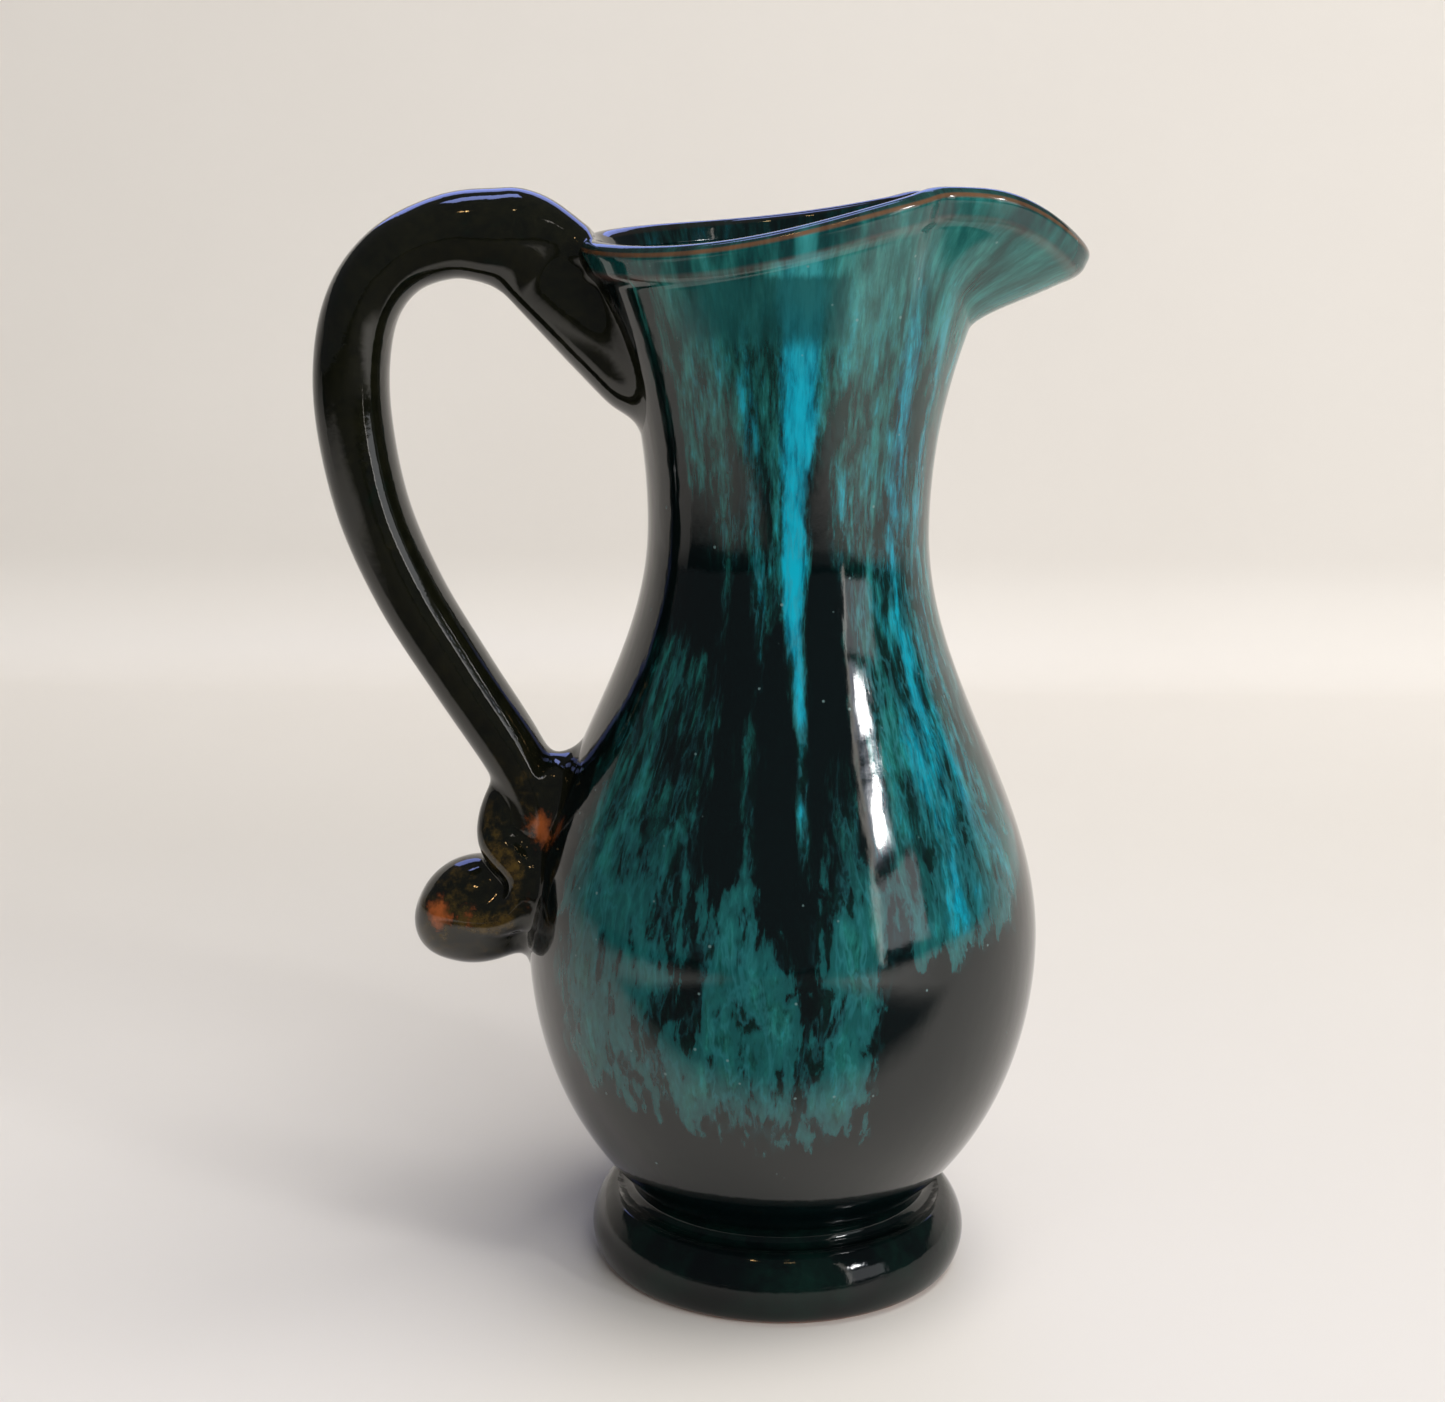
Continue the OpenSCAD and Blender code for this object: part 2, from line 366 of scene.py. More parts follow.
# %% Stations of the strap and its upper end
strap_stations = [  # x, z, half-thickness, half-width
    (-41.0, 166.8, 6.0, 5.4), (-42.6, 168.6, 7.3, 6.7), (-46, 169, 7.4, 7.1), (-53, 169, 6.6, 7),
    (-61, 165.8, 6, 7), (-66.4, 159.6, 5.9, 7), (-68.8, 151, 6, 7), (-68.8, 140, 6, 7),
    (-66, 126, 5.8, 7), (-60.3, 112.5, 5.6, 6.8), (-52.5, 99.5, 5.4, 6.6), (-44.5, 87, 5.2, 6.6),
    (-40.6, 79, 4.8, 6.6), (-39.6, 73.5, 3.6, 6)]
tongue_stations = [  # pressed on to the neck: x, y, z, half-thickness, half-width
    (-43.4, 0, 166.4, 5.0, 3.6), (-40, 0, 164, 6.2, 4.4), (-35.5, 0, 160.4, 7.0, 6.2),
    (-30, 0, 155.5, 7.6, 7.8), (-23, 0, 150, 8.8, 8.6)]
bridge_stations = [  # the saddle from the strap's top to the rim: x, y, z, half-thickness, half-width
    (-43, 0, 170.2, 6.0, 6.2), (-40, 0, 169.9, 5.5, 5.8), (-37, 0, 168.6, 4.9, 5.4),
    (-34.4, 0, 167.6, 4.0, 5.0), (-32.2, 0, 167.0, 3.0, 4.6)]
print("strap:", len(strap_stations), "stations, upper end:", len(tongue_stations) + len(bridge_stations))

# %% Stations of the curl and the pad
curl_stations = [  # x, y, z, radius
    (-43.2, 0, 81.5, 4.2), (-45.4, -1.5, 76.4, 4.3), (-46.1, -3, 72.8, 3.9), (-44.9, -5, 70.4, 3.4),
    (-42.9, -6.9, 68.5, 3.1), (-41.9, -7.9, 66.2, 2.9), (-42.4, -8.3, 63.6, 2.9), (-44.3, -8.2, 61.3, 2.9),
    (-47.5, -7.9, 60.2, 2.9), (-51, -7.1, 60.1, 2.9), (-54, -5.4, 60.4, 2.9), (-56.6, -3, 60.8, 3)]
ball_stations = [  # the fat end of the tail: x, y, z, half-height, half-width
    (-54.5, -0.4, 57.6, 6.2, 6.4), (-53.2, -0.5, 58.5, 7.4, 7.8), (-50.3, -0.5, 59.8, 9.0, 8.9),
    (-46.5, -0.3, 60.4, 8.2, 8.6), (-42, 0, 61.6, 6.4, 7.2)]
pad_stations = [  # the clay that joins it all to the belly: x, y, z, radius
    (-34.6, 0, 83, 3.4), (-36, 0, 79, 6.4), (-37, 0, 71, 7.2), (-37.6, 0, 64.5, 6.4), (-37.4, 0, 60, 4.6)]
print("curl:", len(curl_stations), "stations, tail and pad:", len(ball_stations) + len(pad_stations))

# %% [markdown]
# The grid has a cell of half a millimetre, fine enough for the fold of the curl. Each tube is worked
# out only in the part of the grid that it can reach, which keeps the script quick.

# %% A grid round the handle
CELL = 0.5
LOW, HIGH = np.array([-77.0, -17.0, 45.0]), np.array([-17.0, 17.0, 180.0])
FAR = np.float32(12)   # the field away from all clay
REACH = 6.5            # how far round a tube its field is worked out
axes = [np.arange(LOW[k], HIGH[k] + CELL, CELL, dtype=np.float32) for k in range(3)]
shape = tuple(len(a) for a in axes)
print("grid:", shape)


def window(low, high):
    """The slices of the grid between two corners, and the grid's coordinates there."""
    cut = tuple(slice(max(int((low[k] - LOW[k]) / CELL), 0), max(int((high[k] - LOW[k]) / CELL) + 2, 0))
                for k in range(3))
    return cut, np.meshgrid(*[axes[k][cut[k]] for k in range(3)], indexing="ij", sparse=True)


# %% Fields of the tubes
def tube_field(path, half, power):
    """Distance to a tube: path (n, 3), half-sizes (n, 2) in the plane of the path and across it.

    Each stretch between two path points is a rounded box of the section |a|^p + |b|^p = 1."""
    field = np.full(shape, FAR, np.float32)
    for a, b, ha, hb in zip(path[:-1], path[1:], half[:-1], half[1:]):
        reach = max(ha.max(), hb.max()) + REACH
        cut, (x, y, z) = window(np.minimum(a, b) - reach, np.maximum(a, b) + reach)
        step = b - a
        t = np.clip(((x - a[0])*step[0] + (y - a[1])*step[1] + (z - a[2])*step[2]) / (step @ step), 0, 1)
        dx, dy, dz = x - a[0] - t*step[0], y - a[1] - t*step[1], z - a[2] - t*step[2]
        thick = ha[0] + t * (hb[0] - ha[0])
        wide = ha[1] + t * (hb[1] - ha[1])
        in_plane = np.sqrt(dx*dx + dz*dz)
        k = np.maximum((in_plane/thick)**power + np.abs(dy/wide)**power, 1e-3) ** (1/power)
        slope = k**(1 - power) * np.sqrt((in_plane**(power-1)/thick**power)**2
                                         + (np.abs(dy)**(power-1)/wide**power)**2)
        d = (k - 1) / np.maximum(slope, 0.02)
        field[cut] = np.minimum(field[cut], d)
    return field


def limb(stations, pieces, power=2.0):
    """A tube along stations (x, y, z, half-thickness, half-width), cut into straight pieces."""
    p = along(stations, np.linspace(0, 1, pieces))
    return tube_field(p[:, :3], p[:, [3, -1]], power)


strap_field = limb([(x, 0, z, thick, wide) for x, z, thick, wide in strap_stations], 90, 2.15)
curl_field = limb(curl_stations, 70)
ball_field = limb(ball_stations, 40)
pad_field = limb(pad_stations, 16)
tongue_field = limb(tongue_stations, 30, 2.2)
bridge_field = limb(bridge_stations, 16, 2.3)
print("deepest inside the strap and the curl:", strap_field.min(), curl_field.min())

# %% [markdown]
# Where two fields differ by less than a few millimetres, the joint is filled, as slip fills it on the
# bench. The curl keeps its crease, so it melts over less than a millimetre, and the pad over more.

# %% Melt the limbs together
CURL_MELT, BRIDGE_MELT, ROLL_MELT, TONGUE_MELT, PAD_MELT = 0.7, 1.2, 0.9, 2.2, 2.4


def melt(a, b, k):
    """Smooth union of two fields: where they differ by less than k, the joint is filled."""
    h = np.clip(0.5 + 0.5 * (b - a) / k, 0, 1)
    return b + (a - b) * h - k * h * (1 - h)


def soften(field, rounds):
    """Each cell becomes 1/4, 1/2, 1/4 of itself and its neighbours, along the three axes in turn."""
    for _ in range(rounds):
        for axis in range(3):
            swung = np.moveaxis(field, axis, 0)
            swung[1:-1] = 0.25 * swung[:-2] + 0.5 * swung[1:-1] + 0.25 * swung[2:]
    return field


roll = melt(curl_field, ball_field, CURL_MELT)
clay = strap_field
for other, k in ((bridge_field, BRIDGE_MELT), (roll, ROLL_MELT), (tongue_field, TONGUE_MELT),
                 (pad_field, PAD_MELT)):
    clay = melt(clay, other, k)
clay = soften(clay, 2)
print("handle clay:", round(float((clay < 0).sum()) * CELL**3 / 1000, 1), "cm3, with what lies in the wall")

# %% The vessel's wall on the same grid
gx, gy, gz = np.meshgrid(*axes, indexing="ij", sparse=True)
turn = np.arctan2(gy, gx)
tall = np.clip(gz, FOOT_H, None)
lean = radius_at(turn, tall + 0.5) - radius_at(turn, tall - 0.5)     # mm outwards for each mm up
depth = ((np.hypot(gx, gy) - radius_at(turn, tall)) / np.sqrt(1 + lean**2)).astype(np.float32)
above = gz - (rim_top(turn) - WALL / 2)
shell = np.hypot(np.abs(depth + WALL / 2), np.maximum(above, 0)) - WALL / 2
print("distance from the wall's outer face, mm:", depth.min(), "to", depth.max())

# %% [markdown]
# The handle's skin runs out on to the wall in a fillet and then dives under the wall's own face, so
# that no edge shows and the inside of the pot stays clean.

# %% The skin of the handle
WALL_MELT = 3.4
DIVE, DIVE_FROM, DIVE_TO = 0.6, 2.7, 4.9    # how far the fillet sinks, between two distances from the clay
INNER_DIVE = 0.5                            # and how much more in the inner half of the wall
SKIRT = 5.4                                 # nothing further from the clay than this
KEEP_OUT, RIM_ZONE = 1.9, 4                 # no deeper in the wall than this, except by the rim

clay = np.maximum(clay, -(depth + WALL / 2))
skin = melt(clay, shell, WALL_MELT)
dive = DIVE * smooth(DIVE_FROM, DIVE_TO, clay) + INNER_DIVE * smooth(WALL / 2, WALL * 0.8, -depth)
skin = np.maximum(skin + dive, clay - SKIRT)
skin = np.maximum(skin, np.minimum(-(depth + KEEP_OUT), -(above + RIM_ZONE)))
skin = soften(skin.astype(np.float32), 2)
print("cells inside the skin:", int((skin < 0).sum()))

# %% [markdown]
# Surface nets turn the field into quads, which are then evened out over the skin. Blender's own
# Volume to Mesh modifier could do the first step too. Here it is written out, so that the same field
# can put the points back on the skin while they are evened out.

# %% Draw the skin where the field is zero
def net_skin(field):
    """Surface nets: one point in each grid cell that the skin crosses, at the mean of the crossings
    on its edges, and one quad round each grid edge that the skin crosses."""
    solid = field < 0
    cells = tuple(k - 1 for k in field.shape)
    total = np.zeros(cells + (3,), np.float32)
    count = np.zeros(cells, np.float32)
    crossings = []
    for axis in range(3):
        a, b = [slice(None)] * 3, [slice(None)] * 3
        a[axis], b[axis] = slice(0, -1), slice(1, None)
        fa, fb = field[tuple(a)], field[tuple(b)]
        cross = solid[tuple(a)] != solid[tuple(b)]
        index = np.argwhere(cross)
        point = index.astype(np.float32)
        point[:, axis] += fa[cross] / (fa[cross] - fb[cross])
        others = [k for k in range(3) if k != axis]
        corners = []
        for du, dv in ((0, 0), (1, 0), (1, 1), (0, 1)):
            cell = index.copy()
            cell[:, others[0]] -= du
            cell[:, others[1]] -= dv
            corners.append(cell)
        inside_grid = np.all([(c >= 0).all(1) & (c < np.array(cells)).all(1) for c in corners], axis=0)
        for cell in corners:
            c = cell[inside_grid]
            np.add.at(total, (c[:, 0], c[:, 1], c[:, 2]), point[inside_grid])
            np.add.at(count, (c[:, 0], c[:, 1], c[:, 2]), 1)
        flip = solid[tuple(a)][cross][inside_grid] ^ (axis == 1)
        crossings.append(([c[inside_grid] for c in corners], flip))
    used = count > 0
    number = np.full(cells, -1)
    number[used] = np.arange(used.sum())
    points = LOW + CELL * (total[used] / count[used][:, None])
    quads = []
    for corners, flip in crossings:
        q = np.stack([number[c[:, 0], c[:, 1], c[:, 2]] for c in corners], axis=1)
        quads.append(np.where(flip[:, None], q, q[:, ::-1]))
    return points.astype(float), np.concatenate(quads)


points, quads = net_skin(skin)
print("net:", len(points), "points,", len(quads), "quads")

# %% Values of the field between its cells, and of a point's neighbours
def field_at(field, points):
    """Trilinear value of a grid field at points."""
    g = np.clip((points - LOW) / CELL, 0, np.array(field.shape) - 1.001)
    i = g.astype(int)
    f = g - i
    value = 0
    for dx in (0, 1):
        for dy in (0, 1):
            for dz in (0, 1):
                w = ((f[:, 0] if dx else 1 - f[:, 0]) * (f[:, 1] if dy else 1 - f[:, 1])
                     * (f[:, 2] if dz else 1 - f[:, 2]))
                value = value + w * field[i[:, 0] + dx, i[:, 1] + dy, i[:, 2] + dz]
    return value


ends = np.concatenate([quads[:, [0, 1]], quads[:, [1, 2]], quads[:, [2, 3]], quads[:, [3, 0]]])
degree = np.bincount(ends.ravel(), minlength=len(points))[:, None]


def mean_of_neighbours(values):
    """The mean of the values at the points that each point of the handle shares an edge with."""
    total = np.zeros_like(values)
    np.add.at(total, ends[:, 0], values[ends[:, 1]])
    np.add.at(total, ends[:, 1], values[ends[:, 0]])
    return total / degree


print("edges of the net:", len(ends) // 2)

# %% Even the net out
def relax(points, field, rounds):
    """Slides the points evenly over the skin: each goes halfway to the mean of its neighbours and is
    then put back on the skin along the field's slope."""
    h = 0.6 * CELL
    for _ in range(rounds):
        points = points + 0.5 * (mean_of_neighbours(points) - points)
        slope = np.stack([field_at(field, points + h * e) - field_at(field, points - h * e)
                          for e in np.eye(3)], axis=1) / (2 * h)
        value = field_at(field, points)[:, None]
        points = points - slope * value / np.maximum((slope**2).sum(1, keepdims=True), 0.2)
    return points


points = relax(points, skin, 3)
handle = mesh_piece("handle", points, quads.tolist())

# %% [markdown]
# ## Where the glaze runs
# The pot was dipped in a black glaze, and a turquoise one was poured over its rim. In the kiln the
# second glaze melted and ran: it is thick and pale at the top, pulls out into drips on the neck, and
# ends ragged on the belly. A drip is a bell across the angle whose middle and width change as it
# falls. Painting vertex colours by hand would do it too, but nobody could read or change that later.
# The drips that matter are placed one by one, and those at the back are drawn with a fixed seed.

# %% Drips of the second glaze
DRIPS = [  # angle at top and end, z at top and end, half-width at top and end (degrees), amount, blueness
    (-88, -89, 168, 104, 9, 2.6, 1.3, 1.0), (-89, -86, 124, 92, 3.4, 1.8, 0.95, 0.9),
    (-87, -86, 104, 76, 1.6, 1.5, 0.8, 0.8), (-108, -100, 152, 104, 4.5, 2.2, 0.9, 0.6),
    (-126, -114, 158, 120, 19, 12, 0.6, 0.25), (-97, -96, 140, 112, 3, 2, 0.55, 0.4),
    (-116, -113, 128, 90, 3, 2, 0.36, 0.05), (-72, -70, 156, 116, 7, 5, 0.75, 0.45),
    (-58, -60, 164, 90, 8, 6, 0.82, 0.3), (-44, -47, 164, 63, 9, 12, 0.84, 0.72),
    (-28, -33, 164, 62, 8, 8, 0.86, 0.5), (-12, -22, 160, 68, 9, 7, 0.86, 0.3),
    (-36, -39, 106, 62, 3.5, 4, 0.5, 1.0), (-63, -61, 110, 62, 7, 8, 0.62, 0.25),
    (-51, -50, 92, 60, 3, 4, 0.4, 0.9), (-134, -133, 102, 37, 12, 13, 0.60, 0.05),
    (-147, -141, 92, 44, 7, 6, 0.55, 0.0), (-119, -116, 96, 36, 6, 9, 0.50, 0.1),
    (-96, -94, 60, 32, 9, 11, 0.70, 0.15), (-79, -77, 62, 33, 8, 8, 0.70, 0.2),
    (-76, -73, 84, 52, 6, 6, 0.66, 0.25), (-104, -104, 66, 34, 6, 6, 0.60, 0.12),
    (-101, -98, 96, 60, 3, 2.5, 0.40, 0.1)]
BACK_FROM, BACK_TO, BACK_EVERY, BACK_SWAY = 2, 150, 9, 4   # degrees

back = np.random.default_rng(7)
for centre in range(BACK_FROM, BACK_TO, BACK_EVERY):
    start = centre + back.uniform(-BACK_SWAY, BACK_SWAY)
    DRIPS.append((start, start + back.uniform(-BACK_SWAY, BACK_SWAY), back.uniform(120, 165),
                  back.uniform(36, 95), back.uniform(4, 10), back.uniform(3, 9),
                  back.uniform(0.55, 1.1), back.uniform(0, 1)))
print("drips:", len(DRIPS))

# %% The amount of glaze at each point
COAT, COAT_FROM, COAT_FULL = 1.2, 130, 156   # the coat round the top, and the heights where it begins
DARK_FROM, DARK_TO = 118, 158                # degrees from the spout: the side by the handle stays dark


def pour(angle, z):
    """Amount and blueness of the second glaze: the drips, over a coat round the top."""
    degrees = (np.degrees(angle) + 180) % 360 - 180
    away = smooth(DARK_FROM, DARK_TO, np.abs(degrees))
    amount = COAT * smooth(COAT_FROM, COAT_FULL, z) * (1 - away)
    blue = 0.25 * amount
    for a0, a1, z0, z1, w0, w1, much, hue in DRIPS:
        fall = np.clip((z0 - z) / (z0 - z1), 0, 1)
        across = bell(degrees - (a0 + (a1 - a0) * fall), w0 + (w1 - w0) * fall)
        here = much * across * smooth(z1 - 4, z1 + 9, z) * (1 - smooth(z0 + 1, z0 + 14, z))
        amount = amount + here * (1 - np.minimum(amount, 1) * 0.6)
        blue = np.maximum(blue, here * hue)
    return amount, blue


def keep_values(piece, **values):
    """Keeps one value for each point of a piece's mesh, under each name."""
    for key, value in values.items():
        kept = piece.data.attributes.new(key, "FLOAT", "POINT")
        kept.data.foreach_set("value", value.astype(np.float32))
        print(f"{piece.name}: {key} from {value.min():.2f} to {value.max():.2f}")


# %% The vessel's values
skin_points = np.concatenate([rings.reshape(-1, 3), [under_floor, on_floor]])
turn, tall = np.arctan2(skin_points[:, 1], skin_points[:, 0]), skin_points[:, 2]
amount, blueness = pour(turn, tall)
behind_face = np.hypot(skin_points[:, 0], skin_points[:, 1]) - radius_at(turn, tall)
keep_values(vessel, amount=amount, blueness=blueness, below_rim=rim_top(turn) - tall,
            inside=smooth(-0.7, -1.9, behind_face))

# %% [markdown]
# Glaze slides off sharp ridges and shows the brown clay through. How sharp the handle is at a point
# is how far the point stands proud of the mean of its neighbours, evened out over a few rounds. The
# Geometry node's Pointiness says nearly the same, but only in one render engine, and not in mm.

# %% Ridges of the handle
SPREAD_ROUNDS, EVEN_ROUNDS = 14, 3


def proud(points):
    """How far each point stands out of its smoothed surroundings, in mm, evened out."""
    corner = points[quads]
    face = np.cross(corner[:, 2] - corner[:, 0], corner[:, 3] - corner[:, 1])
    normal = np.zeros_like(points)
    for k in range(4):
        np.add.at(normal, quads[:, k], face)
    soft = points
    for _ in range(SPREAD_ROUNDS):
        soft = mean_of_neighbours(soft)
    out = np.sum((points - soft) * unit(normal), axis=1, keepdims=True)
    for _ in range(EVEN_ROUNDS):
        out = mean_of_neighbours(out)
    return out[:, 0]


keep_values(handle, ridge=proud(points))

# %% [markdown]
# ## Shader arithmetic
# A glaze is easier to read as a formula than as a web of nodes. This class holds one socket, and
# plain Python arithmetic on it adds the Math nodes.

# %% One socket that can be added, multiplied and mixed
class Wire:
    """One output of a shader. Arithmetic adds Math nodes; node() adds any other node."""

    def __init__(self, tree, socket):
        self.tree, self.socket = tree, socket

    def node(self, kind, settings=None, inputs=None, output=0):
        """Adds a node: its settings first, then a value or a Wire for each input, and gives an output."""
        made = self.tree.nodes.new("ShaderNode" + kind)
        for key, value in (settings or {}).items():
            setattr(made, key, value)
        for key, value in (inputs or {}).items():
            if isinstance(value, Wire):
                self.tree.links.new(value.socket, made.inputs[key])
            else:
                made.inputs[key].default_value = value
        return Wire(self.tree, made.outputs[output])

    def math(self, operation, a, b=0.0, clamp=False):
        return self.node("Math", {"operation": operation, "use_clamp": clamp}, {0: a, 1: b})

    def __add__(self, other): return self.math("ADD", self, other)
    def __sub__(self, other): return self.math("SUBTRACT", self, other)
    def __mul__(self, other): return self.math("MULTIPLY", self, other)
    def __truediv__(self, other): return self.math("DIVIDE", self, other)
    def __rsub__(self, other): return self.math("SUBTRACT", other, self)
    __radd__, __rmul__ = __add__, __mul__

    def __abs__(self): return self.math("ABSOLUTE", self)

    def most(self, other):
        """The larger of this and another."""
        return self.math("MAXIMUM", self, other)

    def step(self, lo, hi):
        """0 below lo, 1 above hi, smooth between."""
        return self.node("MapRange", {"interpolation_type": "SMOOTHSTEP"},
                         {"Value": self, "From Min": lo, "From Max": hi, "To Min": 0.0, "To Max": 1.0})

    def noise(self, scale, detail=2.0, rough=0.5, twist=0.0):
        """Noise on this vector, from about -1 to 1."""
        n = self.node("TexNoise", {"noise_dimensions": "3D"},
                      {"Vector": self, "Scale": scale, "Detail": detail, "Roughness": rough,
                       "Distortion": twist})
        return (n - 0.5) * 2.0

    def mix(self, a, b):
        """Colour a where this is 0, colour b where it is 1."""
        a, b = (tuple(c) + (1,) if isinstance(c, tuple) and len(c) == 3 else c for c in (a, b))
        return self.node("Mix", {"data_type": "RGBA"}, {0: self, 6: a, 7: b}, output=2)

    def xyz(self):
        """The three coordinates of this vector, each on its own wire."""
        return [Wire(self.tree, out) for out in self.node("SeparateXYZ", {}, {0: self}).socket.node.outputs]


# %% Begin a material and fill in its shader
GLAZE_IOR = 1.6


def begin(name):
    """A new material, its shader, and object coordinates in mm."""
    material = bpy.data.materials.new(name)
    material.use_nodes = True
    tree = material.node_tree
    shader = tree.nodes["Principled BSDF"]
    place = Wire(tree, tree.nodes.new("ShaderNodeTexCoord").outputs["Object"])
    print("material:", name)
    return material, shader, place.node("VectorMath", {"operation": "SCALE"}, {0: place, "Scale": 1 / MM})


def plug(shader, **values):
    """Links a wire to each named socket, or sets it to a constant. Underscores stand for spaces."""
    for key, value in values.items():
        socket = shader.inputs[key.replace("_", " ")]
        if isinstance(value, Wire):
            value.tree.links.new(value.socket, socket)
        else:
            socket.default_value = value


def value_of(place, name):
    """A value kept on the mesh's points."""
    return place.node("Attribute", {"attribute_name": name}, output=2)


def bump(place, height, distance):
    """A normal bent by a height, with a distance in mm."""
    return place.node("Bump", {}, {"Height": height, "Distance": distance * MM, "Strength": 1.0})


# %% [markdown]
# ## The glaze on the vessel
# Molten glaze carries its colour downwards, so nearly every pattern on the wall is drawn out in
# height. The wall is unrolled on to a cylinder first, because in plain coordinates a streak would
# break up where the wall leans in or out. Several sizes of noise then make the drips ragged: broad
# tongues, strands, feathered edges and fine hairs.

# %% Noises that run down the wall
drip_glaze, shader, place = begin("drip_glaze")
px, py, pz = place.xyz()
rho = place.math("SQRT", px * px + py * py + 0.01)
TURN_R, HAIR_R = 32, 34   # radii of the cylinders, mm


def around_pot(size, stretch):
    """A place on the wall unrolled on to a cylinder: size mm radius, height divided by stretch."""
    return place.node("CombineXYZ", {}, {0: px / rho * size, 1: py / rho * size, 2: pz / stretch})


wander = around_pot(TURN_R, 1.6).noise(0.10, 2.0)
sway = place.node("CombineXYZ", {}, {0: wander * 0.9, 1: wander * 0.9, 2: wander * 0.6})
flow = place.node("VectorMath", {"operation": "ADD"}, {0: around_pot(TURN_R, 4.0), 1: sway})
streak = flow.noise(0.26, 3.0, 0.6)
strand = flow.noise(0.52, 3.0, 0.55, 0.25)
tongue = around_pot(TURN_R, 2.0).noise(0.30, 2.0, 0.5, 0.5) * (1 - pz.step(52, 84))
wisp = 1 - abs(flow.noise(0.42, 3.0, 0.6, 0.3)).step(0.0, 0.13)
feather = flow.noise(0.95, 5.0, 0.72, 0.7)
hair = around_pot(HAIR_R, 9.0).noise(2.4, 4.0, 0.65)
cloud = around_pot(HAIR_R, 1.6).noise(0.11, 3.0, 0.55)
fine = flow.noise(2.3, 3.0, 0.65, 0.8)
flecks = flow.noise(0.8, 4.0, 0.6, 0.4)
grain = place.noise(2.2, 4.0, 0.7)
print("noises on the wall:", sum(n.type == "TEX_NOISE" for n in drip_glaze.node_tree.nodes))

# %% [markdown]
# The values kept on the mesh say how much glaze there is. Noise is added only where there is some,
# so no stray spots appear low on the black belly.

# %% Where the runs cover the black, and how blue and how pale they are
amount, blueness = value_of(place, "amount"), value_of(place, "blueness")
below, inside = value_of(place, "below_rim"), value_of(place, "inside")
outer_face = 1 - inside
ragged = amount + (streak * 0.80 + strand * 0.62 + feather * 0.46 + fine * 0.16 + hair * 0.12
                   + cloud * 0.55 + tongue * 0.9) * amount.step(0.02, 0.20)
cover = ragged.step(0.32, 1.25) * (1 - inside * 0.85)
veil = (amount * 0.9 + feather * 0.7 + cloud * 0.5 + hair * 0.2).step(0.05, 1.1) * outer_face
hue = (blueness * 1.1 + feather * 0.55 + fine * 0.3 + streak * 0.5 + cloud * 0.3).step(0.25, 1.0)
light = (flecks * 1.0 + fine * 0.4 + hair * 0.35 + strand * 0.7 + streak * 0.45 + cloud * 1.0
         + blueness * 0.4 + (ragged - 1.0) * 0.3).step(-0.55, 1.35)
top = (pz + cloud * 7 + streak * 6).step(146, 170) * outer_face
print("masks: cover, veil, hue, light, top")

# %% Colours of the runs over the black
BLACK, BOTTLE = (0.0009, 0.0034, 0.0038), (0.0012, 0.017, 0.014)
DEEP_TEAL, DEEP_BLUE = (0.0012, 0.016, 0.014), (0.0, 0.085, 0.14)
TEAL, TURQUOISE = (0.014, 0.165, 0.150), (0.002, 0.33, 0.46)
SEA_SHADE, SEA = (0.008, 0.105, 0.100), (0.045, 0.235, 0.205)
# The next colour is for a painted dark reflection on the neck under the lip.
DARK_REFLECTION = (0.0025, 0.048, 0.050)

dark = (veil * 0.9 + hair * 0.1).step(0, 1).mix(BLACK, BOTTLE)
run = light.mix(hue.mix(DEEP_TEAL, DEEP_BLUE), hue.mix(TEAL, TURQUOISE))
run = (top * 0.75).mix(run, light.mix(SEA_SHADE, SEA))
swayed = px + streak * 2
# A painted dark reflection: on the near side, just under the lip, the neck is darkened as if it mirrored something
# dark in front.
painted_dark_reflection = (swayed.step(-18, -15) * swayed.step(10, 6) * (pz + feather * 1.8).step(153.2, 156.8)
        * (pz + feather).step(165.8, 164.2) * py.step(-5, -15))   # a painted dark reflection on the near side, under the lip
run = (painted_dark_reflection * 0.75).mix(run, DARK_REFLECTION)
colour = cover.mix(dark, run)
print("turquoise", TURQUOISE, "over black", BLACK)

# %% Threads on the neck and a pale fringe where the runs end
THREAD, FRINGE = (0.03, 0.21, 0.25), (0.014, 0.16, 0.17)

thread = wisp * (amount + cloud * 0.4 + feather * 0.5).step(0.2, 1.1) * outer_face
colour = (thread * pz.step(150, 118) * 0.34).mix(colour, THREAD)
fringe = ragged.step(0.36, 0.62) * ragged.step(1.15, 0.8) * pz.step(88, 66) * outer_face
colour = (fringe * 0.35).mix(colour, FRINGE)
print("threads", THREAD, "fringe", FRINGE)

# %% [markdown]
# Glaze thins on an edge. So the lip has its own bands, all measured down from the rim by the value
# that the mesh keeps: a dark crown, a brown line where the clay shows, a mottled lip, and a pinkish
# seam under it.

# %% Bands of the lip, and a few pale specks
LIP_SHADE, LIP_TEAL = (0.002, 0.03, 0.032), (0.004, 0.11, 0.10)
SEAM, BROWN = (0.20, 0.10, 0.085), (0.16, 0.055, 0.016)
CROWN, SPECK = (0.012, 0.010, 0.008), (0.16, 0.26, 0.26)

